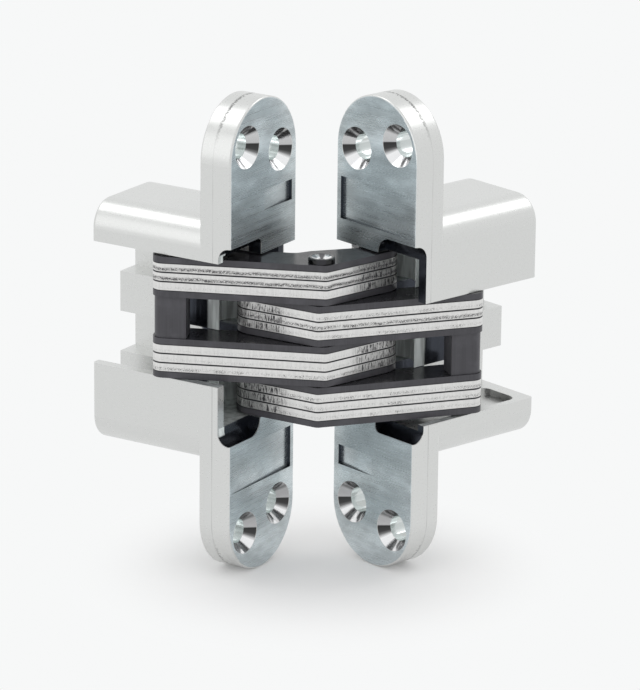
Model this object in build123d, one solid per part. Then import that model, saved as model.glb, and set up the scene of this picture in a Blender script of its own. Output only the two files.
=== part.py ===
from build123d import *
import math
import os

# Concealed scissor hinge for a door edge, drawn standing at its rest opening.
# Millimetres. The frame leaf's face is the plane x = 0 and looks along +X, the
# pivots run along Z, and the origin is the middle of that face.
# Casting points are given as u, the depth behind the face, and v, the distance
# from the near long edge, which is the side that the door closes against.

# Leaf casting
PLATE_LENGTH = 117.5
LEAF_WIDTH = 28.58
PLATE_THICKNESS = 8.72
BODY_LENGTH = 60.3
BODY_DEPTH = 39.7
BODY_CORNER = 6.5
EDGE_ROUND = 0.5
BACK_ROUND = 0.9

# Room for the links in a casting
SET_BACK = 3.4
END_WALL = 20.5
LONG_WALL_V = 18.2
SHORT_WALL_V = 11.8
NEAR_WALL = 2.6
RAMP_U = 7.45
RAMP_SLOPE = 0.507
SCOOP_HEIGHT = 4.0
SCOOP_V = 13.5
SCOOP_ROUND = 3.0
SCOOP_CORNERS = (1.5, 4.0)
GROOVE_SHORT = 6.4
GROOVE_FAR_V = 13.5
GROOVE_DEPTH = 1.6

# Screws and the sunk blank fields
SCREW_SPREAD = 7.2
SCREW_Z_NEAR = 48.0
SCREW_Z_FAR = 44.5
SCREW_BORE_R = 3.1
SCREW_SINK_R = 5.2
SCREW_SINK_ANGLE = 82.0
FIELD_DEPTHS = (0.1, 0.9)
FIELD_LARGE = (1.0, 27.0, -36.6, -26.1)
FIELD_SMALL = (14.6, 26.7, 31.0, 36.0)

# Linkage
OPENING_ANGLE = 73.75
NEAR_CORNER_GAP = 43.94
RIVET_Y = 4.8
PIVOT_U = 6.5
PIVOT_EDGE = 3.28
PIVOT_R = 1.45
PIVOT_HALF_LENGTH = 24.0
PIVOT_CHAMFER = 0.3

# Link outline, about its own corner at the middle of the hinge
CORNER_X = 1.0
CORNER_Y = 1.0
CORNER_ROUND = 1.5
LONG_ARM_ANGLE = 166.2
LONG_ARM = 42.4
ARM_WIDTH = 9.5
ARM_ROUND = 2.75
HOOK_ANGLE = 35.7
HOOK_REACH = 19.4
BULGE_R = 5.8
HUB_R = 3.2
NOTCH = (10.25, 16.35)
NOTCH_ROUND = 1.2
SHOULDER_RUN = 12.47
SHOULDER_ROUND = 2.0
KNEE_X = -5.5
KNEE_ROUND = 4.0

# Stacks of plates, from the top down
PITCH = 10.1
GAP = 0.2
PLATE = 2.3
FLANGE = 1.5
PLATE_EDGE = 0.12
PLATES = 3
SLIDE_INSET = 6.05
SLIDE_R = 1.5
SLIDE_HEAD_R = 2.4
SLIDE_HEAD = 1.2
WEB_LENGTH = 8.0
WEB_DEPTH = 5.8
WEB_INSET = 0.4
RIVET_R = 2.3
RIVET_HEAD_R = 3.2
RIVET_HEAD = 1.3
RIVET_HEAD_EDGE = 0.35
RIVET_TAIL_R = 3.2
DISH_R = 2.5
DISH_DEPTH = 0.8

# Clearances
FIXED_FIT = 0.02
RUNNING_FIT = 0.05
GROOVE_ROOM = 0.3067
POCKET_ROOM = 0.4
SWEEP_ROOM = 1.0

HALF_OPENING = OPENING_ANGLE / 2
PIVOT_V = LEAF_WIDTH - PIVOT_EDGE
MIDDLE = LEAF_WIDTH / 2
STACK = PLATES * PLATE + 2 * FLANGE
RIVET_LEVEL = 2 * PITCH - GAP / 2
BIG = 60.0
OVERCUT = 2.0
SQUARE_ANGLE = 90.0


def turned(x, y, degrees):
    c = math.cos(math.radians(degrees))
    s = math.sin(math.radians(degrees))
    return (c * x - s * y, s * x + c * y)


def leaf_point(u, v):
    """A point of the door leaf in the mirror frame between both leaves."""
    x, y = turned(u, v, HALF_OPENING)
    return (NEAR_CORNER_GAP / 2 + x, y)


def uv_box(u0, u1, v0, v1, z0, z1):
    size = (u1 - u0, v1 - v0, z1 - z0)
    middle = (-(u0 + u1) / 2, (v0 + v1) / 2 - MIDDLE, (z0 + z1) / 2)
    return Pos(*middle) * Box(*size)


def uv_prism(points, z0, z1):
    """A prism along Z over a polygon of (u, v) points."""
    outline = make_face(Polyline([(-u, v - MIDDLE) for u, v in points], close=True))
    return Pos(0, 0, z0) * extrude(outline, z1 - z0)


def uv_disc(u, v, radius, z0, z1):
    return Pos(-u, v - MIDDLE, (z0 + z1) / 2) * Cylinder(radius, z1 - z0)


# Casting

def leaf_blank():
    plate = extrude(Plane.YZ * SlotOverall(PLATE_LENGTH, LEAF_WIDTH, rotation=90), -PLATE_THICKNESS)
    plate = fillet(plate.edges(), EDGE_ROUND)
    body = extrude(Plane.YZ * RectangleRounded(LEAF_WIDTH, BODY_LENGTH, BODY_CORNER), -BODY_DEPTH)
    body = fillet(body.faces().sort_by(Axis.X)[0].edges(), BACK_ROUND)
    front = uv_box(-1, PLATE_THICKNESS / 2, -BIG, BIG, -BIG, BIG)
    return plate + (body - front)


def scoop(side):
    """Hollow beside the face that lets the rivet head in when the door is shut."""
    height = END_WALL + SCOOP_HEIGHT
    round_corner = SCOOP_CORNERS[0] if side > 0 else SCOOP_CORNERS[1]
    long_cut = uv_box(-OVERCUT, SET_BACK, -BIG, BIG, -OVERCUT, height)
    deep = long_cut.edges().filter_by(Axis.Y).sort_by(Axis.Z)[-2:].sort_by(Axis.X)[0]
    face_cut = uv_box(-OVERCUT, BIG, -BIG, SCOOP_V, -OVERCUT, height)
    corner = face_cut.edges().filter_by(Axis.X).sort_by(Axis.Z)[-2:].sort_by(Axis.Y)[-1]
    cut = fillet(deep, SCOOP_ROUND) & fillet(corner, round_corner)
    return cut if side > 0 else mirror(cut, Plane.XY)


def zones():
    """The four heights, top down: (bottom, top, does the long arm run in it)."""
    levels = [END_WALL, PITCH, 0.0, -PITCH, -END_WALL]
    return [(levels[i + 1], levels[i], i % 2 == 0) for i in range(4)]


def long_zone_cut(z0, z1):
    room = uv_box(-OVERCUT, BODY_DEPTH + OVERCUT, -OVERCUT, LONG_WALL_V, z0, z1)
    end_v = LEAF_WIDTH + OVERCUT
    end_u = RAMP_U - RAMP_SLOPE * (end_v - LONG_WALL_V)
    start_v = LONG_WALL_V - OVERCUT
    ramp = [(-OVERCUT, start_v), (RAMP_U, start_v), (RAMP_U, LONG_WALL_V), (end_u, end_v), (-OVERCUT, end_v)]
    return room + uv_prism(ramp, z0, z1)


def closed_bulge():
    """Where the hook's round back lies in a casting when the leaves are shut."""
    reach = math.hypot(*bulge_from_pivot())
    shut = math.radians(BULGE_SHUT_ANGLE)
    return (PIVOT_U + reach * math.cos(shut), PIVOT_V + reach * math.sin(shut))


def bulge_from_pivot():
    bulge = bulge_centre()
    pivot = pivot_in_link()
    return (bulge[0] - pivot[0], bulge[1] - pivot[1])


def hook_pocket(z0, z1):
    """Swept room of the hook about its pivot, from shut to fully open."""
    bulge_u, bulge_v = closed_bulge()
    hub_r = HUB_R + POCKET_ROOM
    bulge_r = BULGE_R + POCKET_ROOM
    run_u, run_v = bulge_u - PIVOT_U, bulge_v - PIVOT_V
    reach = math.hypot(run_u, run_v)
    along = (run_u / reach, run_v / reach)
    lean = (bulge_r - hub_r) / reach
    flat = math.sqrt(1 - lean ** 2)
    side = (-lean * along[0] - flat * along[1], -lean * along[1] + flat * along[0])
    hub_edge = (PIVOT_U + hub_r * side[0], PIVOT_V + hub_r * side[1])
    bulge_edge = (bulge_u + bulge_r * side[0], bulge_v + bulge_r * side[1])
    shut = uv_prism([(PIVOT_U, PIVOT_V), hub_edge, bulge_edge, (bulge_u, bulge_v)], z0, z1)
    shut += uv_disc(PIVOT_U, PIVOT_V, hub_r, z0, z1)
    shut += uv_disc(bulge_u, bulge_v, bulge_r, z0, z1)
    hook = HOOK_ANGLE + LAG * HALF_OPENING
    touch = ray((bulge_u, bulge_v), hook - SQUARE_ANGLE, bulge_r)
    shut += uv_prism([(bulge_u, bulge_v), touch, ray(touch, hook + 180, BULGE_R)], z0, z1)
    far = (PIVOT_U + BIG * along[0], PIVOT_V + BIG * along[1])
    front = uv_prism([(PIVOT_U, PIVOT_V), far, (-BIG, far[1]), (-BIG, PIVOT_V)], z0, z1)
    swept = uv_disc(PIVOT_U, PIVOT_V, reach + bulge_r + SWEEP_ROOM, z0, z1) & front
    mouth = uv_box(-OVERCUT, PIVOT_U, PIVOT_V - PIVOT_R, LEAF_WIDTH + OVERCUT, z0, z1)
    return shut + swept + mouth


def short_zone_cut(z0, z1, walled):
    near = NEAR_WALL if walled else -OVERCUT
    room = uv_box(-OVERCUT, BODY_DEPTH + OVERCUT, near, SHORT_WALL_V, z0, z1)
    return room + hook_pocket(z0, z1)


def screw_cutter(v, z):
    flare = (SCREW_SINK_R - SCREW_BORE_R) / math.tan(math.radians(SCREW_SINK_ANGLE / 2))
    bore = Cylinder(SCREW_BORE_R, 2 * (PLATE_THICKNESS + OVERCUT))
    sink = Pos(0, 0, -flare / 2) * Cone(SCREW_BORE_R, SCREW_SINK_R, flare)
    mouth = Pos(0, 0, OVERCUT / 2) * Cylinder(SCREW_SINK_R, OVERCUT)
    return Pos(0, v - MIDDLE, z) * Rot(0, 90, 0) * (bore + sink + mouth)


def screw_places():
    near = MIDDLE - SCREW_SPREAD
    far = MIDDLE + SCREW_SPREAD
    return [(near, SCREW_Z_NEAR), (far, SCREW_Z_FAR), (near, -SCREW_Z_NEAR), (far, -SCREW_Z_FAR)]


def blank_field(v0, v1, z0, z1):
    """Sunk field whose floor falls away from the near edge."""
    shallow, deep = FIELD_DEPTHS
    return uv_prism([(-OVERCUT, v0), (shallow, v0), (deep, v1), (-OVERCUT, v1)], z0, z1)


def pin_groove():
    """Slot in the end wall for the head of the outermost slide pin."""
    near_v = slide_in_leaf()[1] - SLIDE_HEAD_R - GROOVE_ROOM
    far_u = LONG_ARM - GROOVE_SHORT
    slot = uv_box(-OVERCUT, far_u, near_v, GROOVE_FAR_V, END_WALL - OVERCUT, END_WALL + GROOVE_DEPTH)
    return fillet(slot.edges().filter_by(Axis.Z).sort_by(Axis.X)[:2], SLIDE_HEAD_R)


def casting():
    leaf = leaf_blank()
    leaf -= uv_box(-OVERCUT, SET_BACK, -BIG, BIG, -END_WALL, END_WALL)
    leaf -= scoop(1)
    leaf -= scoop(-1)
    for index, (z0, z1, long_arm) in enumerate(zones()):
        leaf -= long_zone_cut(z0, z1) if long_arm else short_zone_cut(z0, z1, index == 3)
    leaf -= pin_groove()
    leaf -= uv_disc(PIVOT_U, PIVOT_V, PIVOT_R + FIXED_FIT, -PIVOT_HALF_LENGTH, PIVOT_HALF_LENGTH)
    for v, z in screw_places():
        leaf -= screw_cutter(v, z)
    leaf -= blank_field(*FIELD_LARGE)
    leaf -= blank_field(*FIELD_SMALL)
    return leaf


def pivot_pin():
    pin = Cylinder(PIVOT_R, 2 * PIVOT_HALF_LENGTH)
    pin = chamfer(pin.edges(), PIVOT_CHAMFER)
    return Pos(-PIVOT_U, PIVOT_V - MIDDLE, 0) * pin


# Links, drawn in the mirror frame with the set that runs in the frame leaf

def pivot_in_link():
    return leaf_point(PIVOT_U, PIVOT_V)


def ray(start, degrees, length):
    angle = math.radians(degrees)
    return (start[0] + length * math.cos(angle), start[1] + length * math.sin(angle))


def bulge_centre():
    touch = ray((CORNER_X, CORNER_Y), HOOK_ANGLE, HOOK_REACH)
    return ray(touch, HOOK_ANGLE + SQUARE_ANGLE, BULGE_R)


def shut_angle():
    """Direction from pivot to bulge, in a casting, with the leaves shut."""
    run = bulge_from_pivot()
    rest = math.degrees(math.atan2(run[1], run[0])) - HALF_OPENING
    return rest + (1 + LAG) * HALF_OPENING


LAG = 0.2
BULGE_SHUT_ANGLE = shut_angle()


def nearest(shape, point):
    return shape.vertices().sort_by_distance(Vector(point[0], point[1], 0))[0]


def heading(start, end):
    return math.degrees(math.atan2(end[1] - start[1], end[0] - start[0]))


def round_end(centre, radius, first, last):
    """Arc about a centre, turning left from one direction to the other."""
    middle = first + ((last - first) % 360) / 2
    return ThreePointArc(ray(centre, first, radius), ray(centre, middle, radius), ray(centre, last, radius))


def link_outline():
    """Long arm, hooked short arm with its round back, and the hub at its end."""
    corner = (CORNER_X, CORNER_Y)
    tip_front = ray(corner, LONG_ARM_ANGLE, LONG_ARM)
    tip_back = ray(tip_front, LONG_ARM_ANGLE - SQUARE_ANGLE, ARM_WIDTH)
    knee = ray(tip_back, LONG_ARM_ANGLE, (KNEE_X - tip_back[0]) / math.cos(math.radians(LONG_ARM_ANGLE)))
    pivot = pivot_in_link()
    bulge = bulge_centre()
    throat = heading(NOTCH, pivot) + math.degrees(math.asin(HUB_R / math.dist(NOTCH, pivot)))
    shoulder = ray(NOTCH, throat + SQUARE_ANGLE, SHOULDER_RUN)
    lean = math.degrees(math.asin((BULGE_R - HUB_R) / math.dist(bulge, pivot)))
    cheek = heading(bulge, pivot) - SQUARE_ANGLE + lean
    back = round_end(bulge, BULGE_R, HOOK_ANGLE - SQUARE_ANGLE, cheek)
    hub = round_end(pivot, HUB_R, cheek, throat + SQUARE_ANGLE)
    sides = [Line(corner, back @ 0), back, Line(back @ 1, hub @ 0), hub]
    sides += [Polyline([hub @ 1, NOTCH, shoulder, knee, tip_back, tip_front, corner])]
    outline = make_face(Wire([edge for side in sides for edge in side.edges()]))
    rounds = [(tip_front, ARM_ROUND), (tip_back, ARM_ROUND), (knee, KNEE_ROUND), (shoulder, SHOULDER_ROUND),
              (NOTCH, NOTCH_ROUND), (corner, CORNER_ROUND)]
    for point, radius in rounds:
        outline = fillet(nearest(outline, point), radius)
    return outline


def slide_centre():
    """Slide pin, on the middle line of the long arm."""
    front = ray((CORNER_X, CORNER_Y), LONG_ARM_ANGLE, LONG_ARM - SLIDE_INSET)
    return ray(front, LONG_ARM_ANGLE - SQUARE_ANGLE, ARM_WIDTH / 2)


def slide_in_leaf():
    """Where the slide pin stands at rest in the frame leaf, as (u, v)."""
    x, y = slide_centre()
    x, y = turned(NEAR_CORNER_GAP / 2 + x, y, HALF_OPENING)
    return (-x, y)


def drilled(sheet, rivet_fit):
    sheet -= Pos(0, RIVET_Y) * Circle(RIVET_R + rivet_fit)
    sheet -= Pos(*pivot_in_link()) * Circle(PIVOT_R + RUNNING_FIT)
    sheet -= Pos(*slide_centre()) * Circle(SLIDE_R + FIXED_FIT)
    return sheet


def stack_top(stack):
    return (2 - stack) * PITCH - GAP / 2


def slab(sheet, z0, z1):
    return Pos(0, 0, z0) * extrude(sheet, z1 - z0)


def link_plate(sheet, stack, index):
    """Stamped plate, its outer edges eased on both faces."""
    top = stack_top(stack) - FLANGE - index * PLATE
    plate = slab(sheet, top - PLATE, top)
    faces = plate.faces().filter_by(Axis.Z)
    return chamfer([edge for face in faces for edge in face.outer_wire().edges()], PLATE_EDGE)


def flange(sheet, stack, upper):
    top = stack_top(stack) if upper else stack_top(stack) - STACK + FLANGE
    return slab(sheet, top - FLANGE, top)


def rivet_tail(fit):
    """Cone that holds the rivet flush in the lowest flange."""
    return Pos(0, RIVET_Y, FLANGE / 2 - RIVET_LEVEL) * Cone(RIVET_TAIL_R + fit, RIVET_R + fit, FLANGE)


def spacer(sheet, stack):
    """Two flanges and the web that ties them across the other set's stack."""
    upper = flange(sheet, stack, False)
    lower = flange(sheet, stack + 2, True)
    front = ray((CORNER_X, CORNER_Y), LONG_ARM_ANGLE - SQUARE_ANGLE, WEB_INSET)
    start = ray(front, LONG_ARM_ANGLE, LONG_ARM - WEB_INSET - WEB_LENGTH)
    end = ray(front, LONG_ARM_ANGLE, LONG_ARM - WEB_INSET)
    depth = WEB_DEPTH - WEB_INSET
    inward = LONG_ARM_ANGLE - SQUARE_ANGLE
    web = make_face(Polyline([start, end, ray(end, inward, depth), ray(start, inward, depth)], close=True))
    web = fillet(nearest(web, end), ARM_ROUND - WEB_INSET)
    return upper + lower + slab(web, stack_top(stack + 2), stack_top(stack) - STACK)


def slide_pin(stack, outward):
    """Slide pin of one stack; the outermost pin has a head in the end groove."""
    top = stack_top(stack)
    pin = Pos(*slide_centre(), top - STACK / 2) * Cylinder(SLIDE_R, STACK)
    if outward:
        edge = top if outward > 0 else top - STACK
        pin += Pos(*slide_centre(), edge + outward * SLIDE_HEAD / 2) * Cylinder(SLIDE_HEAD_R, SLIDE_HEAD)
    return pin


def centre_rivet():
    """Rivet with a dished head on top and a tail sunk in the lowest flange."""
    rim = RIVET_LEVEL + RIVET_HEAD
    shank = Pos(0, RIVET_Y, 0) * Cylinder(RIVET_R, 2 * RIVET_LEVEL)
    head = Cylinder(RIVET_HEAD_R, RIVET_HEAD)
    head = chamfer(head.edges().sort_by(Axis.Z)[-1], RIVET_HEAD_EDGE)
    head = Pos(0, RIVET_Y, rim - RIVET_HEAD / 2) * head
    ball_r = (DISH_R ** 2 + DISH_DEPTH ** 2) / (2 * DISH_DEPTH)
    dish = Pos(0, RIVET_Y, rim - DISH_DEPTH + ball_r) * Sphere(ball_r)
    return shank + head + rivet_tail(0) - dish


# Placing: mirror frame to the frame leaf's own frame

def place(shape):
    x, y = turned(NEAR_CORNER_GAP / 2, 0, HALF_OPENING)
    return Pos(x, y - MIDDLE, 0) * Rot(0, 0, HALF_OPENING) * shape


def place_on_door(shape):
    face_x, face_y = leaf_point(0, MIDDLE)
    return place(Pos(face_x, face_y, 0) * Rot(0, 0, HALF_OPENING) * Rot(0, 180, 0) * shape)


def write(name, shape):
    shape.label = name
    export_step(shape, os.path.join("parts", name + ".step"))


def main():
    os.makedirs("parts", exist_ok=True)
    leaf = casting()
    write("frame_leaf", leaf)
    write("door_leaf", place_on_door(leaf))
    write("frame_pivot_pin", pivot_pin())
    write("door_pivot_pin", place_on_door(pivot_pin()))
    write("centre_rivet", place(centre_rivet()))
    outline = link_outline()
    for name, first, rivet_fit, flip in (("a", 0, RUNNING_FIT, False), ("b", 1, FIXED_FIT, True)):
        sheet = drilled(outline, rivet_fit)

        def put(shape):
            return place(mirror(shape, Plane.YZ) if flip else shape)

        for stack in (first, first + 2):
            for index in range(PLATES):
                write(f"link_{name}_plate_{stack + 1}_{index + 1}", put(link_plate(sheet, stack, index)))
            outward = 1 if stack == 0 else -1 if stack == 3 else 0
            write(f"slide_pin_{name}_{stack + 1}", put(slide_pin(stack, outward)))
        write(f"flange_{name}_top", put(flange(sheet, first, True)))
        write(f"flange_{name}_bottom", put(flange(sheet, first + 2, False) - rivet_tail(FIXED_FIT)))
        write(f"spacer_{name}", put(spacer(sheet, first)))


main()
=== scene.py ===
import math

import bpy
from mathutils import Matrix, Vector


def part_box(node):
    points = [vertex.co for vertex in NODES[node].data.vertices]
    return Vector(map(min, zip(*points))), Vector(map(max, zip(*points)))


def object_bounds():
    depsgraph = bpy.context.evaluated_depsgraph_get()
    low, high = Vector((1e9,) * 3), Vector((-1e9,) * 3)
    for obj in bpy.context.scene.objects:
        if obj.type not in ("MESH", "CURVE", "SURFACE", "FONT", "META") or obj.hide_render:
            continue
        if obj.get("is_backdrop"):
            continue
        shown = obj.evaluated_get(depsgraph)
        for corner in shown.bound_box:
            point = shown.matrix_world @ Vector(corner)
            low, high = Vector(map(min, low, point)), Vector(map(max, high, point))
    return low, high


bl_info = {
    "name": "Concealed Hinge Finish",
    "version": (1, 0, 0),
    "blender": (4, 5, 0),
    "location": "3D View > Sidebar > Hinge",
    "description": "Plated castings, link plates, black spacers and a studio for a door hinge",
    "category": "Object",
}

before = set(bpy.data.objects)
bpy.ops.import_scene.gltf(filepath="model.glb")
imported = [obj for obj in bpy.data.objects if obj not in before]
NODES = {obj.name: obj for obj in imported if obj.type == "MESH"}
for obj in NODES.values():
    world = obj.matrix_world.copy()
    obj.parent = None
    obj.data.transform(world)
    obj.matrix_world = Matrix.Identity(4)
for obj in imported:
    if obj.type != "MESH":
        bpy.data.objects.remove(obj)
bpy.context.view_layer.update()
MM = 0.001
IN_MM = (1.0 / MM, 1.0 / MM, 1.0 / MM)

# Castings at rest, in mm: depth runs back from a leaf's face, width from its near edge, and
# height both ways from its middle. A start, end, top or edge is where a finish begins to show
# and where it is full. A pair of widths, heights or depths is its limits.
OPENING = math.radians(73.75)
DOOR_FACE_PLACE = Vector((21.427, 16.078, 0.0))
LEAF_WIDTH = 28.58
LEAF_MIDDLE = LEAF_WIDTH / 2
CRISP = 0.05
SOFT = 0.1
FACE_END = (1.3, 1.1)
ROOM_START = (0.15, 0.3)
ROOM_END = (20.5, 19.5)
ROOM_TOP = (20.6, 20.45)
ROOM_HEIGHT = 20.5
ROOM_WIDTHS = (0.2, LEAF_WIDTH - 0.3)
STACK_PITCH = 10.1
SCOOP_END = (3.7, 3.5)
SCOOP_HEIGHTS = (ROOM_HEIGHT, 24.7)
SCOOP_WIDTHS = (0.2, 13.6)
STEP_DEPTH = 3.4
STEP_REACH = 0.3
STEP_EDGE = (3.0, 2.8)
SHUT_WALL_START = (13.8, 14.6)
SHUT_WALL_END = (30.5, 21.5)
SHUT_WALL_WIDTH = 11.8
SHUT_WALL_REACH = 0.2
FIELD_DEPTHS = (0.06, 1.0)
FIELD_HEIGHTS = (25.5, 37.5)
FIELD_WIDTHS = (0.8, LEAF_WIDTH - 1.2)
FIELD_SOFT = 0.02
SCREW_PLACES = ((7.09, 48.0), (21.49, 44.5))
SCREW_REACH = 5.35
SINK_START = (0.03, 0.1)
BORE_START = (2.4, 2.5)
PARTING_DEPTH = 5.0
PARTING_REACH = 0.08
RAG_REACH = 0.30
RAG_SOFT = 0.15
RAG_WANDER = 3.0
RAG_HEIGHTS = (48.0, 57.0)
# How squarely a surface looks the way of its leaf's face, from not at all to fully counted
FRONT_FACING = (0.90, 0.97)


# Node helpers

def start_material(name):
    """A new material with one Principled shader, wired to its output."""
    material = bpy.data.materials.new(name)
    material.use_nodes = True
    tree = material.node_tree
    tree.nodes.clear()
    output = tree.nodes.new("ShaderNodeOutputMaterial")
    shader = tree.nodes.new("ShaderNodeBsdfPrincipled")
    tree.links.new(shader.outputs["BSDF"], output.inputs["Surface"])
    return material, tree, shader


def feed(tree, socket, value):
    """Sets a socket to a plain value, or links another node's output to it."""
    if isinstance(value, bpy.types.NodeSocket):
        tree.links.new(value, socket)
    else:
        socket.default_value = value


def object_point(tree, stretch=(1.0, 1.0, 1.0), shift=(0.0, 0.0, 0.0)):
    """The piece's own coordinates, stretched and moved for a pattern."""
    coordinates = tree.nodes.new("ShaderNodeTexCoord")
    return stretched(tree, coordinates.outputs["Object"], stretch, shift)


def noise(tree, point, scale, detail, roughness):
    node = tree.nodes.new("ShaderNodeTexNoise")
    tree.links.new(point, node.inputs["Vector"])
    node.inputs["Scale"].default_value = scale
    node.inputs["Detail"].default_value = detail
    node.inputs["Roughness"].default_value = roughness
    return node.outputs["Fac"]


def pattern(tree, point, stretch, detail, roughness, shift=(0.0, 0.0, 0.0)):
    """Noise drawn out along the axes."""
    return noise(tree, stretched(tree, point, stretch, shift), 1.0, detail, roughness)


def remap(tree, value, low, high, to_low=0.0, to_high=1.0):
    node = tree.nodes.new("ShaderNodeMapRange")
    node.interpolation_type = "SMOOTHSTEP"
    feed(tree, node.inputs["Value"], value)
    node.inputs["From Min"].default_value = low
    node.inputs["From Max"].default_value = high
    node.inputs["To Min"].default_value = to_low
    node.inputs["To Max"].default_value = to_high
    return node.outputs["Result"]


def combine(tree, operation, first, second=0.0):
    """One step of arithmetic; a step that takes a single value ignores the second."""
    node = tree.nodes.new("ShaderNodeMath")
    node.operation = operation
    feed(tree, node.inputs[0], first)
    feed(tree, node.inputs[1], second)
    return node.outputs[0]


def distance(tree, across, up):
    """How far a point of a plane lies from the plane's origin."""
    squares = combine(tree, "ADD", combine(tree, "MULTIPLY", across, across),
                      combine(tree, "MULTIPLY", up, up))
    return combine(tree, "SQRT", squares)


def blend_colour(tree, factor, first, second):
    node = tree.nodes.new("ShaderNodeMix")
    node.data_type = "RGBA"
    feed(tree, node.inputs["Factor"], factor)
    feed(tree, node.inputs["A"], first)
    feed(tree, node.inputs["B"], second)
    return node.outputs["Result"]


def blend_value(tree, factor, first, second):
    node = tree.nodes.new("ShaderNodeMix")
    feed(tree, node.inputs["Factor"], factor)
    feed(tree, node.inputs["A"], first)
    feed(tree, node.inputs["B"], second)
    return node.outputs["Result"]


def bump(tree, height, strength, depth, under=None):
    node = tree.nodes.new("ShaderNodeBump")
    feed(tree, node.inputs["Strength"], strength)
    node.inputs["Distance"].default_value = depth
    feed(tree, node.inputs["Height"], height)
    if under is not None:
        tree.links.new(under, node.inputs["Normal"])
    return node.outputs["Normal"]


def facing(tree, direction, low, high):
    """How far the piece's own normal points in a direction, as a soft mask."""
    coordinates = tree.nodes.new("ShaderNodeTexCoord")
    dot = tree.nodes.new("ShaderNodeVectorMath")
    dot.operation = "DOT_PRODUCT"
    tree.links.new(coordinates.outputs["Normal"], dot.inputs[0])
    dot.inputs[1].default_value = direction
    return remap(tree, dot.outputs["Value"], low, high)


def split_axes(tree, point):
    split = tree.nodes.new("ShaderNodeSeparateXYZ")
    tree.links.new(point, split.inputs["Vector"])
    return split.outputs["X"], split.outputs["Y"], split.outputs["Z"]


def stretched(tree, point, stretch, shift=(0.0, 0.0, 0.0)):
    """A point scaled along each axis and moved, for a drawn-out pattern."""
    mapping = tree.nodes.new("ShaderNodeMapping")
    tree.links.new(point, mapping.inputs["Vector"])
    mapping.inputs["Scale"].default_value = stretch
    mapping.inputs["Location"].default_value = shift
    return mapping.outputs["Vector"]


def band(tree, value, low, high, soft):
    """One between two limits, and zero outside them, with soft ends."""
    rise = remap(tree, value, low - soft, low + soft)
    fall = remap(tree, value, high + soft, high - soft)
    return combine(tree, "MULTIPLY", rise, fall)


def near(tree, value, place, reach, soft):
    """One within a reach of a place, and zero outside it, with soft ends."""
    return band(tree, value, place - reach, place + reach, soft)


def all_of(tree, *masks):
    total = masks[0]
    for mask in masks[1:]:
        total = combine(tree, "MULTIPLY", total, mask)
    return total


def any_of(tree, *masks):
    total = masks[0]
    for mask in masks[1:]:
        total = combine(tree, "MAXIMUM", total, mask)
    return total


def without(tree, mask):
    return combine(tree, "SUBTRACT", 1.0, mask)


def ramp(tree, value, stops):
    """A grey along a value from zero to one, through (place, grey) stops."""
    node = tree.nodes.new("ShaderNodeValToRGB")
    feed(tree, node.inputs["Fac"], value)
    elements = node.color_ramp.elements
    elements[0].position, elements[1].position = stops[0][0], stops[-1][0]
    for place, _ in stops[1:-1]:
        elements.new(place)
    for element, (_, grey) in zip(elements, stops):
        element.color = (grey, grey, grey, 1.0)
    return node.outputs["Color"]


def tinted(tree, colour, tint):
    node = tree.nodes.new("ShaderNodeMix")
    node.data_type = "RGBA"
    node.blend_type = "MULTIPLY"
    node.inputs["Factor"].default_value = 1.0
    feed(tree, node.inputs["A"], colour)
    feed(tree, node.inputs["B"], tint)
    return node.outputs["Result"]


def scaled(colour, factor):
    return tuple(min(1.0, c * factor) for c in colour[:3]) + (1.0,)


def mottled(tree, value, low, high, colour, darkest):
    """A colour that a pattern darkens where the pattern is low."""
    return blend_colour(tree, remap(tree, value, low, high), scaled(colour, darkest), colour)


def layered(tree, tone, colour, *layers):
    """A tone with lighter or darker shades of one colour over it, each by its own mask."""
    for mask, factor in layers:
        tone = blend_colour(tree, mask, tone, scaled(colour, factor))
    return tone


def dress(node_name, material):
    """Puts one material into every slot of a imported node."""
    piece = NODES[node_name]
    if not piece.material_slots:
        raise RuntimeError(f"{node_name} has no material slot")
    for slot in piece.material_slots:
        slot.link = "OBJECT"
        slot.material = material


# Castings

class CastingSettings(bpy.types.PropertyGroup):
    face_colour: bpy.props.FloatVectorProperty(
        name="Face colour", description="Brushed face of each leaf",
        subtype="COLOR", size=4, min=0.0, max=1.0, default=(0.56, 0.61, 0.63, 1.0))
    side_colour: bpy.props.FloatVectorProperty(
        name="Side colour", description="Satin sides and body of each leaf",
        subtype="COLOR", size=4, min=0.0, max=1.0, default=(0.71, 0.715, 0.705, 1.0))
    # Painted reflection: the pockets' plating is painted near white with streaks and lit as a
    # nearly diffuse surface, to stand for the bright reflections in it.
    room_sheen_colour: bpy.props.FloatVectorProperty(
        name="Room colour", description="Bright plating in the pockets for the hooked arms",
        subtype="COLOR", size=4, min=0.0, max=1.0, default=(0.94, 1.0, 0.99, 1.0))
    # Painted shade: this dark colour stands for shadow and dark reflections in the scoops, the
    # sliding slots, on the shut wall, on the door leaf's step and on the walls of the sunk fields.
    shade_colour: bpy.props.FloatVectorProperty(
        name="Shade colour",
        description="Dark plating in the scoops, the sliding slots and on the step",
        subtype="COLOR", size=4, min=0.0, max=1.0, default=(0.045, 0.050, 0.062, 1.0))
    screw_colour: bpy.props.FloatVectorProperty(
        name="Screw hole colour", description="Turned countersinks",
        subtype="COLOR", size=4, min=0.0, max=1.0, default=(0.97, 0.97, 0.98, 1.0))
    brush_pitch: bpy.props.FloatProperty(
        name="Brush pitch", description="Spacing of the brush lines across the face, in mm",
        default=0.3, min=0.05, max=2.0)
    grain: bpy.props.FloatProperty(
        name="Cast grain", description="Size of the faint cast grain on the sides, in mm",
        default=0.5, min=0.1, max=3.0)


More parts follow.
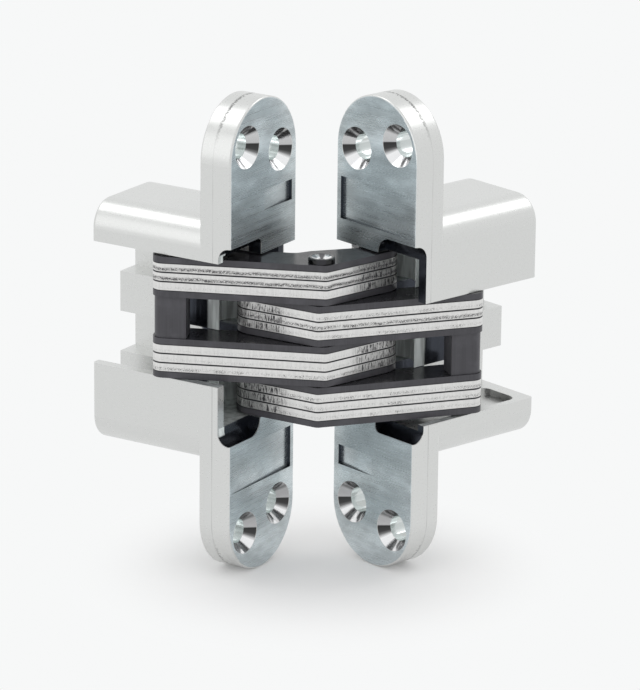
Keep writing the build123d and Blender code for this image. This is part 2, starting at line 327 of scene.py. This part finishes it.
def leaf_coordinates(tree, node_name):
    """Depth behind the face, distance from the near edge, and height, in mm."""
    coordinates = tree.nodes.new("ShaderNodeTexCoord")
    mapping = tree.nodes.new("ShaderNodeMapping")
    middle = Vector((0.0, LEAF_MIDDLE, 0.0))
    if node_name == "frame_leaf":
        mapping.inputs["Scale"].default_value = (-1.0 / MM, 1.0 / MM, 1.0 / MM)
        mapping.inputs["Location"].default_value = middle
    else:
        back = Matrix.Rotation(-OPENING, 3, "Z")
        mapping.inputs["Scale"].default_value = IN_MM
        mapping.inputs["Rotation"].default_value = (0.0, 0.0, -OPENING)
        mapping.inputs["Location"].default_value = middle - back @ DOOR_FACE_PLACE
    tree.links.new(coordinates.outputs["Object"], mapping.inputs["Vector"])
    return mapping.outputs["Vector"]


def face_direction(node_name):
    if node_name == "frame_leaf":
        return Vector((1.0, 0.0, 0.0))
    return Vector((-math.cos(OPENING), -math.sin(OPENING), 0.0))


# Painted reflections of a turned countersink: bright and dark sectors from its foot to its top
SINK_REFLECTION_GREYS = ((0.0, 0.90), (0.18, 0.95), (0.27, 0.20), (0.33, 0.06), (0.48, 0.04), (0.51, 0.55),
              (0.76, 0.62), (0.84, 0.22), (0.90, 0.45), (1.0, 0.35))


def screw_holes(tree, across, level, height):
    """The mask of the countersinks and bores, and the place of their painted reflection sectors,
    from foot to top.
    """
    mask = sector = None
    for screw_across, screw_height in SCREW_PLACES:
        rise = combine(tree, "SUBTRACT", height, screw_height)
        side = combine(tree, "SUBTRACT", across, screw_across)
        away = distance(tree, side, rise)
        hole = remap(tree, away, SCREW_REACH, SCREW_REACH - SOFT)
        turn = combine(tree, "MULTIPLY", combine(tree, "DIVIDE", rise, away), hole)
        mask = hole if mask is None else combine(tree, "MAXIMUM", mask, hole)
        sector = turn if sector is None else combine(tree, "ADD", sector, turn)
    upward = combine(tree, "MULTIPLY", sector, combine(tree, "SIGN", level))
    return mask, combine(tree, "ADD", combine(tree, "MULTIPLY", upward, 0.5), 0.5)


def casting_zones(tree, node_name, depth, across, level, height):
    """The masks of a casting's face, of its room, painted bright as a reflection, and of its places
    painted dark as shade and dark reflection.
    """
    front = facing(tree, face_direction(node_name), *FRONT_FACING)
    face = all_of(tree, front, remap(tree, depth, *FACE_END))
    behind_face = remap(tree, depth, *ROOM_START)
    within = all_of(tree, behind_face, band(tree, across, *ROOM_WIDTHS, CRISP),
                    remap(tree, height, *ROOM_TOP))
    room = all_of(tree, within, remap(tree, depth, *ROOM_END))
    scoops = all_of(tree, behind_face, remap(tree, depth, *SCOOP_END),
                    band(tree, height, *SCOOP_HEIGHTS, SOFT),
                    band(tree, across, *SCOOP_WIDTHS, CRISP))
    step = all_of(tree, front, near(tree, depth, STEP_DEPTH, STEP_REACH, SOFT),
                  remap(tree, across, *STEP_EDGE))
    shut_wall = all_of(tree, within, remap(tree, depth, *SHUT_WALL_START),
                       remap(tree, depth, *SHUT_WALL_END),
                       near(tree, across, SHUT_WALL_WIDTH, SHUT_WALL_REACH, SOFT))
    upper = level if node_name == "frame_leaf" else combine(tree, "MULTIPLY", level, -1.0)
    slots = all_of(tree, room, any_of(tree, band(tree, upper, STACK_PITCH, ROOM_HEIGHT, CRISP),
                                      band(tree, upper, -STACK_PITCH, 0.0, CRISP)))
    # Painted shade: the scoops, the sliding slots and the shut wall are painted dark where shadow
    # and dark reflections fall.
    shade = any_of(tree, scoops, slots, shut_wall)
    # Painted shade on the door leaf's step; the frame leaf's step keeps the side's satin.
    if node_name == "door_leaf":
        shade = any_of(tree, shade, step)
    else:
        room = all_of(tree, room, without(tree, step))
        shade = all_of(tree, shade, without(tree, step))
    # Painted shade along the walls of the sunk fields.
    fields = all_of(tree, without(tree, front), band(tree, depth, *FIELD_DEPTHS, FIELD_SOFT),
                    band(tree, height, *FIELD_HEIGHTS, SOFT),
                    band(tree, across, *FIELD_WIDTHS, CRISP))
    return face, any_of(tree, room, scoops), any_of(tree, shade, fields)


def parting_mask(tree, depth, height, ripple, grain):
    """The faint line where the die parted, ragged and dark at the round ends."""
    line = all_of(tree, near(tree, depth, PARTING_DEPTH, PARTING_REACH, PARTING_REACH),
                  remap(tree, ripple, 0.35, 0.6, 0.12, 0.5))
    wander = combine(tree, "MULTIPLY", combine(tree, "SUBTRACT", grain, 0.5), RAG_WANDER)
    rag = all_of(tree, near(tree, combine(tree, "ADD", depth, wander), PARTING_DEPTH,
                            RAG_REACH, RAG_SOFT),
                 remap(tree, height, *RAG_HEIGHTS), remap(tree, grain, 0.40, 0.52))
    return any_of(tree, line, rag)


def casting_material(node_name, settings):
    """Die casting with plating: brushed face, satin sides, a room painted bright with reflections,
    places painted dark with shade, and turned countersinks with painted reflections.
    """
    material, tree, shader = start_material(node_name + "_casting")
    point = leaf_coordinates(tree, node_name)
    depth, across, level = split_axes(tree, point)
    height = combine(tree, "ABSOLUTE", level)
    face, room, shade = casting_zones(tree, node_name, depth, across, level, height)
    sink, sector = screw_holes(tree, across, level, height)
    sink = all_of(tree, sink, remap(tree, depth, *SINK_START))

    lines = pattern(tree, point, (0.03, 0.03, 1.0 / settings.brush_pitch), 3.0, 0.6)
    wide_lines = pattern(tree, point, (0.02, 0.02, 0.6), 2.0, 0.5)
    clouds = pattern(tree, point, (0.08, 0.05, 0.12), 4.0, 0.6)
    grain = noise(tree, point, 1.0 / settings.grain, 3.0, 0.6)
    ripple = pattern(tree, point, (0.5, 0.5, 0.05), 3.0, 0.55, (3.0, 7.0, 1.0))
    parting = all_of(tree, without(tree, face), parting_mask(tree, depth, height, ripple, grain))

    tone = layered(tree, mottled(tree, lines, 0.3, 0.7, settings.face_colour, 0.94),
                   settings.face_colour,
                   (remap(tree, wide_lines, 0.4, 0.75, 0.0, 0.3), 1.2),
                   (remap(tree, clouds, 0.42, 0.66, 0.0, 0.8), 1.5),
                   (remap(tree, clouds, 0.46, 0.30, 0.0, 0.6), 0.75),
                   # Painted reflection: the face is painted darker towards its middle, next to the
                   # dark links.
                   (remap(tree, height, 40.0, 22.0, 0.0, 0.35), 0.6))
    side = layered(tree, mottled(tree, grain, 0.3, 0.7, settings.side_colour, 0.97),
                   settings.side_colour, (parting, 0.25))
    # Painted reflection: bright streaks on the room's plating, darker between them.
    room_sheen = mottled(tree, ripple, 0.40, 0.58, settings.room_sheen_colour, 0.62)
    # Painted reflection: the countersinks take bright and dark sectors, and the bores a lighter
    # grey.
    turned = layered(tree, tinted(tree, ramp(tree, sector, SINK_REFLECTION_GREYS), settings.screw_colour),
                     settings.room_sheen_colour, (remap(tree, depth, *BORE_START, 0.0, 0.7), 0.92))
    colour = blend_colour(tree, face, side, tone)
    colour = blend_colour(tree, room, colour, room_sheen)
    # Painted shade laid over the colour where the dark mask lies.
    colour = blend_colour(tree, shade, colour, settings.shade_colour)
    feed(tree, shader.inputs["Base Color"], blend_colour(tree, sink, colour, turned))
    # Low metallic in the room, so that its painted reflection shows as a nearly diffuse surface.
    walls = all_of(tree, room, without(tree, shade))
    feed(tree, shader.inputs["Metallic"], blend_value(tree, walls, 0.92, 0.15))

    rough = blend_value(tree, face, remap(tree, grain, 0.2, 0.8, 0.26, 0.34),
                        remap(tree, lines, 0.3, 0.7, 0.24, 0.34))
    rough = blend_value(tree, room, rough, remap(tree, ripple, 0.3, 0.7, 0.14, 0.26))
    feed(tree, shader.inputs["Roughness"], blend_value(tree, sink, rough, 0.14))

    scratch = bump(tree, lines, all_of(tree, face, without(tree, room)), 0.004 * MM)
    waves = bump(tree, ripple, room, 0.05 * MM, scratch)
    satin = all_of(tree, without(tree, face), without(tree, room), without(tree, sink))
    relief = bump(tree, grain, combine(tree, "MULTIPLY", satin, 0.12), 0.008 * MM, waves)
    tree.links.new(relief, shader.inputs["Normal"])
    return material


class HINGE_OT_finish_castings(bpy.types.Operator):
    """Finishes the frame leaf and the door leaf"""
    bl_idname = "hinge.finish_castings"
    bl_label = "Finish castings"

    def execute(self, context):
        settings = context.scene.hinge_castings
        for node_name in ("frame_leaf", "door_leaf"):
            dress(node_name, casting_material(node_name, settings))
        return {"FINISHED"}


# Link plates

# How much of each plate's edge the punch tore, in the order of the plates' numbers
TEAR = {"a_plate_1": (0.95, 1.0, 0.05), "a_plate_3": (0.05, 0.1, 0.45),
        "b_plate_2": (0.4, 0.75, 0.35), "b_plate_4": (0.45, 0.4, 0.35)}
# Shares of a plate's thickness: where it is torn, and how far its strokes stay from its faces
TORN_SHARES = (0.20, 0.50)
TORN_SOFT = 0.14
TORN_WAVE = 0.4
STROKE_MARGINS = (0.12, 0.15)
STROKE_SOFT = 0.05
# Where a hooked arm begins and where it is full: set A's along Y and set B's along X, in mm
HOOK_ARM_A = (7.0, 12.0)
HOOK_ARM_B = (9.0, 4.0)
# How far each plate's pattern lies from that of the plate before
PATTERN_STEP = (3.7, 6.1, 1.3)
SEAM_SHADE_COLOUR = (0.02, 0.02, 0.024, 1.0)


class LinkSettings(bpy.types.PropertyGroup):
    edge_colour: bpy.props.FloatVectorProperty(
        name="Edge colour", description="Plated, sheared edge of a link plate",
        subtype="COLOR", size=4, min=0.0, max=1.0, default=(0.80, 0.795, 0.785, 1.0))
    tear_colour: bpy.props.FloatVectorProperty(
        name="Tear colour", description="Dark pits where the punch tore the steel",
        subtype="COLOR", size=4, min=0.0, max=1.0, default=(0.045, 0.043, 0.048, 1.0))
    # The seam's near-black colour is painted shade and oil in the joint between plates.
    seam: bpy.props.FloatProperty(
        name="Seam", description="Height of the dark seam between two plates",
        unit="LENGTH", default=0.24 * MM, min=0.05 * MM, max=1.0 * MM)


def hook_arm_mask(tree, name, point):
    """The short hooked arm of a link: set A hooks into the door leaf, set B into the frame leaf."""
    x, y, _ = split_axes(tree, point)
    if name.startswith("link_a"):
        return remap(tree, y, *HOOK_ARM_A)
    return remap(tree, x, *HOOK_ARM_B)


def link_material(name, low, high, seed, tear, settings):
    """Punched steel plate: smooth upper edge, torn pits in a band below it, the joints to the next
    plates painted dark with shade and oil, and its hooked arm painted darker with shade.
    """
    material, tree, shader = start_material(name)
    point = object_point(tree, IN_MM)
    height = split_axes(tree, object_point(tree))[2]
    thickness = high - low
    shift = tuple(seed * step for step in PATTERN_STEP)
    pits = pattern(tree, point, (3.4, 3.4, 4.2), 5.0, 0.8, shift)
    patches = pattern(tree, point, (0.22, 0.22, 0.1), 3.0, 0.6, shift)
    specks = pattern(tree, point, (4.2, 4.2, 2.2), 3.0, 0.7, shift)
    streaks = pattern(tree, point, (1.6, 1.6, 0.08), 3.0, 0.6, shift)
    strokes = pattern(tree, point, (3.0, 3.0, 0.45), 3.0, 0.7, shift)

    wavy = combine(tree, "MULTIPLY", combine(tree, "SUBTRACT", patches, 0.5),
                   TORN_WAVE * thickness)
    torn_low, torn_high = (low + share * thickness for share in TORN_SHARES)
    torn_band = band(tree, combine(tree, "ADD", height, wavy), torn_low, torn_high,
                     TORN_SOFT * thickness)
    torn = all_of(tree, remap(tree, pits, 0.56 - 0.10 * tear, 0.61 - 0.10 * tear), torn_band,
                  remap(tree, patches, 0.62 - 0.40 * tear, 0.74 - 0.40 * tear))
    hook = hook_arm_mask(tree, name, point)
    stroke = all_of(tree, hook, remap(tree, strokes, 0.50, 0.57, 0.0, 0.95),
                    band(tree, height, low + STROKE_MARGINS[0] * thickness,
                         high - STROKE_MARGINS[1] * thickness, STROKE_SOFT * thickness))
    grey = all_of(tree, remap(tree, specks, 0.45, 0.62, 0.0, 0.4 + 0.6 * tear), torn_band)
    # Painted shade and oil: the joint between two plates is painted near black.
    seam_shade = any_of(tree, remap(tree, height, low + settings.seam, low + settings.seam * 0.6),
                   remap(tree, height, high - settings.seam, high - settings.seam * 0.6))

    # Painted shade: the hooked arm is painted darker, for the shadow and dark reflection it lies
    # in; its strokes are scratches.
    tone = layered(tree, mottled(tree, streaks, 0.3, 0.7, settings.edge_colour, 0.90),
                   settings.edge_colour, (combine(tree, "MULTIPLY", hook, 0.4), 0.45), (grey, 0.55))
    marks = any_of(tree, torn, stroke)
    tone = blend_colour(tree, marks, tone, settings.tear_colour)
    tone = blend_colour(tree, seam_shade, tone, SEAM_SHADE_COLOUR)
    feed(tree, shader.inputs["Base Color"], tone)
    feed(tree, shader.inputs["Metallic"], blend_value(tree, any_of(tree, torn, seam_shade), 0.85, 0.2))
    rough = blend_value(tree, torn, remap(tree, streaks, 0.2, 0.8, 0.28, 0.40), 0.8)
    feed(tree, shader.inputs["Roughness"], rough)
    relief = combine(tree, "SUBTRACT", combine(tree, "MULTIPLY", streaks, 0.3), marks)
    tree.links.new(bump(tree, relief, 0.4, 0.04 * MM), shader.inputs["Normal"])
    return material


class HINGE_OT_finish_links(bpy.types.Operator):
    """Finishes the twelve link plates, each with its own run of pits"""
    bl_idname = "hinge.finish_links"
    bl_label = "Finish link plates"

    def execute(self, context):
        settings = context.scene.hinge_links
        seed = 0
        for stack, tears in TEAR.items():
            for index, tear in enumerate(tears):
                seed += 1
                name = f"link_{stack}_{index + 1}"
                low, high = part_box(name)
                dress(name, link_material(name + "_steel", low[2], high[2], seed, tear, settings))
        return {"FINISHED"}


# Black flanges and spacers

class BlackPartSettings(bpy.types.PropertyGroup):
    colour: bpy.props.FloatVectorProperty(
        name="Colour", description="Black flanges and spacers",
        subtype="COLOR", size=4, min=0.0, max=1.0, default=(0.050, 0.049, 0.056, 1.0))
    rub_size: bpy.props.FloatProperty(
        name="Rub size", description="Size of the shinier, rubbed patches, in mm",
        default=6.0, min=0.5, max=30.0)


def black_material(settings):
    """Black lacquered parts, glossy on their flats, which are painted darker than the sides as
    shade, with moulding lines and rubbed patches.
    """
    material, tree, shader = start_material("black_spacer")
    point = object_point(tree, IN_MM)
    flat = any_of(tree, facing(tree, (0.0, 0.0, 1.0), 0.8, 0.95),
                  facing(tree, (0.0, 0.0, -1.0), 0.8, 0.95))
    patches = noise(tree, point, 1.0 / settings.rub_size, 3.0, 0.6)
    lines = pattern(tree, point, (2.2, 2.2, 0.03), 2.0, 0.6)
    grain = noise(tree, point, 3.0, 2.0, 0.6)
    # Painted shade: the flats are painted at half the colour of the sides.
    tone = layered(tree, settings.colour, settings.colour,
                   (remap(tree, patches, 0.45, 0.75), 1.5),
                   (remap(tree, lines, 0.35, 0.7, 0.0, 0.5), 1.4), (flat, 0.5))
    feed(tree, shader.inputs["Base Color"], tone)
    rough = blend_value(tree, flat, remap(tree, lines, 0.3, 0.7, 0.34, 0.42),
                        remap(tree, patches, 0.3, 0.7, 0.28, 0.18))
    feed(tree, shader.inputs["Roughness"], rough)
    shader.inputs["Specular IOR Level"].default_value = 0.4
    tree.links.new(bump(tree, grain, 0.10, 0.01 * MM), shader.inputs["Normal"])
    return material


class HINGE_OT_finish_black_parts(bpy.types.Operator):
    """Finishes the black flanges and the two spacers"""
    bl_idname = "hinge.finish_black_parts"
    bl_label = "Finish black parts"

    def execute(self, context):
        material = black_material(context.scene.hinge_black_parts)
        for name in NODES:
            if name.startswith(("flange_", "spacer_")):
                dress(name, material)
        return {"FINISHED"}


# Rivet and pins

class PinSettings(bpy.types.PropertyGroup):
    rivet_colour: bpy.props.FloatVectorProperty(
        name="Rivet colour", description="Bright rolled head of the centre rivet",
        subtype="COLOR", size=4, min=0.0, max=1.0, default=(0.96, 0.96, 0.97, 1.0))
    pin_colour: bpy.props.FloatVectorProperty(
        name="Pin colour", description="Ground steel of the pivot and slide pins",
        subtype="COLOR", size=4, min=0.0, max=1.0, default=(0.62, 0.62, 0.62, 1.0))


# Painted reflections on the rolled rivet head: greys from its middle to its reach, in mm, and the
# colour of its darker patches
HEAD_REFLECTION_GREYS = ((0.0, 0.03), (0.15, 0.05), (0.24, 0.95), (0.56, 0.95), (0.62, 0.05), (0.70, 0.16),
              (0.77, 0.04), (1.0, 0.03))
HEAD_REACH = 4.0
HEAD_DARK_REFLECTION = (0.05, 0.05, 0.055, 1.0)


def rivet_material(settings):
    """Bright rivet with turned rings and plating; its bright ring, its dark rim and dish, and its
    dark patches on a slant are painted reflections.
    """
    material, tree, shader = start_material("rivet_bright")
    low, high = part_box("centre_rivet")
    centre = (low + high) / 2 / MM
    point = object_point(tree, (1.0 / MM, 1.0 / MM, 0.0), (-centre[0], -centre[1], 0.0))
    x, y, _ = split_axes(tree, point)
    away = distance(tree, x, y)
    rings = noise(tree, point, 0.4, 2.0, 0.5)
    # Painted reflection: darker patches on the head, set by a slant in one fixed direction.
    slant = combine(tree, "ADD", x, combine(tree, "MULTIPLY", y, 0.6))
    turn = combine(tree, "ABSOLUTE", combine(tree, "DIVIDE", slant, away))
    head = ramp(tree, combine(tree, "MULTIPLY", away, 1.0 / HEAD_REACH), HEAD_REFLECTION_GREYS)
    tone = blend_colour(tree, remap(tree, turn, 0.25, 0.6, 0.12, 1.0), HEAD_DARK_REFLECTION,
                        tinted(tree, head, settings.rivet_colour))
    feed(tree, shader.inputs["Base Color"], tone)
    shader.inputs["Metallic"].default_value = 1.0
    feed(tree, shader.inputs["Roughness"], remap(tree, rings, 0.3, 0.7, 0.10, 0.22))
    return material


def pin_material(settings):
    """Ground steel pin with fine lines round it."""
    material, tree, shader = start_material("pin_ground")
    lines = noise(tree, object_point(tree, (0.1, 0.1, 1.0)), 3000.0, 2.0, 0.6)
    tone = mottled(tree, lines, 0.3, 0.7, settings.pin_colour, 0.85)
    feed(tree, shader.inputs["Base Color"], tone)
    shader.inputs["Metallic"].default_value = 1.0
    feed(tree, shader.inputs["Roughness"], remap(tree, lines, 0.2, 0.8, 0.2, 0.32))
    tree.links.new(bump(tree, lines, 0.15, 0.01 * MM), shader.inputs["Normal"])
    return material


class HINGE_OT_finish_pins(bpy.types.Operator):
    """Finishes the centre rivet, the pivot pins and the slide pins"""
    bl_idname = "hinge.finish_pins"
    bl_label = "Finish rivet and pins"

    def execute(self, context):
        settings = context.scene.hinge_pins
        dress("centre_rivet", rivet_material(settings))
        steel = pin_material(settings)
        for name in NODES:
            if name.startswith("slide_pin_") or name.endswith("_pivot_pin"):
                dress(name, steel)
        return {"FINISHED"}


# Studio, in metres and watts

# The floor turns from the hinge's own ground into the backdrop, going out from the feet
FEET_MIDDLE = (0.012, 0.008, 0.0)
FLOOR_SIZE = 8.0
BACKDROP_START = (0.022, 0.060)
LAMP_TARGET = (0.02, 0.0, 0.0)
# Place, side and power of each soft box
SOFT_BOXES = {"front": ((-0.35, -0.95, 0.35), 0.8, 0.9),
              "left_high": ((-0.52, -0.08, 0.80), 0.45, 0.9),
              "right_high": ((0.32, 0.58, 0.72), 0.45, 0.9)}


class StageSettings(bpy.types.PropertyGroup):
    floor_colour: bpy.props.FloatVectorProperty(
        name="Floor colour", description="Plain pale floor under the hinge",
        subtype="COLOR", size=4, min=0.0, max=1.0, default=(0.93, 0.93, 0.93, 1.0))
    backdrop_colour: bpy.props.FloatVectorProperty(
        name="Backdrop colour", description="Plain pale ground that the camera sees",
        subtype="COLOR", size=4, min=0.0, max=1.0, default=(0.93, 0.938, 0.938, 1.0))
    near_backdrop: bpy.props.FloatProperty(
        name="Backdrop near the hinge",
        description="Share of the plain backdrop in the floor close to the hinge",
        subtype="FACTOR", default=0.10, min=0.0, max=1.0)
    sky: bpy.props.FloatProperty(
        name="Sky", description="Strength of the even light from all round",
        default=0.88, min=0.0, max=2.0)
    camera_place: bpy.props.FloatVectorProperty(
        name="Camera place", description="Where the camera stands",
        subtype="TRANSLATION", unit="LENGTH", size=3, default=(0.5770, -0.8886, 0.3269))
    camera_turn: bpy.props.FloatProperty(
        name="Camera turn", description="Heading, from +Y towards -X",
        subtype="ANGLE", default=math.radians(32.255))
    camera_dip: bpy.props.FloatProperty(
        name="Camera dip", description="How far the camera looks down",
        subtype="ANGLE", default=math.radians(17.261))
    camera_roll: bpy.props.FloatProperty(
        name="Camera roll", description="Turn about the line of sight",
        subtype="ANGLE", default=math.radians(0.626))
    focal_length: bpy.props.FloatProperty(
        name="Focal length", description="Lens, on a 36 mm sensor",
        unit="CAMERA", default=241.8, min=20.0, max=600.0)


def place_camera(context, settings):
    """The camera at the photograph's viewing angle."""
    camera = bpy.data.objects.new("Camera", bpy.data.cameras.new("Camera"))
    camera.data.sensor_fit = "AUTO"
    camera.data.sensor_width = 36.0
    camera.data.lens = settings.focal_length
    camera.data.clip_start = 0.01
    camera.data.clip_end = 50.0
    turn = Matrix.Rotation(settings.camera_turn, 4, "Z")
    dip = Matrix.Rotation(math.pi / 2 - settings.camera_dip, 4, "X")
    roll = Matrix.Rotation(settings.camera_roll, 4, "Z")
    camera.matrix_world = Matrix.Translation(settings.camera_place) @ turn @ dip @ roll
    context.collection.objects.link(camera)
    context.scene.camera = camera


def soft_light(context, name, place, size, power):
    """A square soft box that looks at the hinge."""
    data = bpy.data.lights.new(name, "AREA")
    data.shape = "SQUARE"
    data.size = size
    data.energy = power
    lamp = bpy.data.objects.new(name, data)
    lamp.location = place
    aim = Vector(LAMP_TARGET) - Vector(place)
    lamp.rotation_euler = aim.to_track_quat("-Z", "Y").to_euler()
    context.collection.objects.link(lamp)


def seen_rays(tree):
    """One for rays of the camera and of reflections, and for rays through clear pieces."""
    rays = tree.nodes.new("ShaderNodeLightPath")
    return any_of(tree, rays.outputs["Is Camera Ray"], rays.outputs["Is Glossy Ray"],
                  rays.outputs["Is Transmission Ray"])


def mix_shaders(tree, factor, first, second):
    node = tree.nodes.new("ShaderNodeMixShader")
    feed(tree, node.inputs["Fac"], factor)
    tree.links.new(first, node.inputs[1])
    tree.links.new(second, node.inputs[2])
    return node.outputs[0]


def light_world(context, settings):
    """Even white light from all round, behind a plain backdrop for the rays that see it."""
    world = bpy.data.worlds.new("Studio")
    world.use_nodes = True
    context.scene.world = world
    tree = world.node_tree
    tree.nodes.clear()
    output = tree.nodes.new("ShaderNodeOutputWorld")
    sky = tree.nodes.new("ShaderNodeBackground")
    sky.inputs["Color"].default_value = (1.0, 1.0, 1.0, 1.0)
    sky.inputs["Strength"].default_value = settings.sky
    backdrop = tree.nodes.new("ShaderNodeBackground")
    backdrop.inputs["Color"].default_value = settings.backdrop_colour
    mixed = mix_shaders(tree, seen_rays(tree), sky.outputs[0], backdrop.outputs[0])
    tree.links.new(mixed, output.inputs["Surface"])


def lay_floor(context, settings):
    """A pale floor in the backdrop's colour, which keeps the hinge's shadow close to the hinge."""
    bpy.ops.mesh.primitive_plane_add(size=FLOOR_SIZE, location=(0.0, 0.0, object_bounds()[0][2]))
    floor = context.object
    floor.name = "floor"
    material, tree, shader = start_material("pale_floor")
    point = object_point(tree, shift=tuple(-c for c in FEET_MIDDLE))
    grain = noise(tree, point, 900.0, 2.0, 0.5)
    colour = blend_colour(tree, grain, scaled(settings.floor_colour, 0.995), settings.floor_colour)
    feed(tree, shader.inputs["Base Color"], colour)
    shader.inputs["Roughness"].default_value = 0.7
    shader.inputs["Specular IOR Level"].default_value = 0.1
    backdrop = tree.nodes.new("ShaderNodeEmission")
    backdrop.inputs["Color"].default_value = settings.backdrop_colour
    middle = tree.nodes.new("ShaderNodeVectorMath")
    middle.operation = "LENGTH"
    tree.links.new(point, middle.inputs[0])
    away = remap(tree, middle.outputs["Value"], *BACKDROP_START, settings.near_backdrop, 1.0)
    mixed = mix_shaders(tree, all_of(tree, seen_rays(tree), away), shader.outputs["BSDF"],
                        backdrop.outputs[0])
    tree.links.new(mixed, tree.nodes["Material Output"].inputs["Surface"])
    floor.data.materials.append(material)
    floor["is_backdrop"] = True


class HINGE_OT_set_stage(bpy.types.Operator):
    """Sets the camera, the soft lights, the world and the floor"""
    bl_idname = "hinge.set_stage"
    bl_label = "Set stage"

    def execute(self, context):
        settings = context.scene.hinge_stage
        place_camera(context, settings)
        light_world(context, settings)
        lay_floor(context, settings)
        for name, (place, size, power) in SOFT_BOXES.items():
            soft_light(context, name, place, size, power)
        context.scene.view_settings.view_transform = "Standard"
        return {"FINISHED"}


# Sidebar and registration

class HINGE_PT_sidebar(bpy.types.Panel):
    """Lists the hinge's operators in the 3D view's sidebar"""
    bl_label = "Concealed hinge"
    bl_idname = "HINGE_PT_sidebar"
    bl_space_type = "VIEW_3D"
    bl_region_type = "UI"
    bl_category = "Hinge"

    def draw(self, context):
        for operator in OPERATORS:
            self.layout.operator(operator.bl_idname)


OPERATORS = (HINGE_OT_set_stage, HINGE_OT_finish_castings, HINGE_OT_finish_links,
             HINGE_OT_finish_black_parts, HINGE_OT_finish_pins)
SETTINGS = {"hinge_castings": CastingSettings, "hinge_links": LinkSettings,
            "hinge_black_parts": BlackPartSettings, "hinge_pins": PinSettings,
            "hinge_stage": StageSettings}


def register():
    for cls in (*SETTINGS.values(), *OPERATORS, HINGE_PT_sidebar):
        bpy.utils.register_class(cls)
    for name, group in SETTINGS.items():
        setattr(bpy.types.Scene, name, bpy.props.PointerProperty(type=group))


def unregister():
    for name in SETTINGS:
        delattr(bpy.types.Scene, name)
    for cls in reversed((*SETTINGS.values(), *OPERATORS, HINGE_PT_sidebar)):
        bpy.utils.unregister_class(cls)


def main():
    register()
    for operator in OPERATORS:
        group, name = operator.bl_idname.split(".")
        getattr(getattr(bpy.ops, group), name)()
    bpy.context.view_layer.update()


if __name__ == "__main__":
    main()
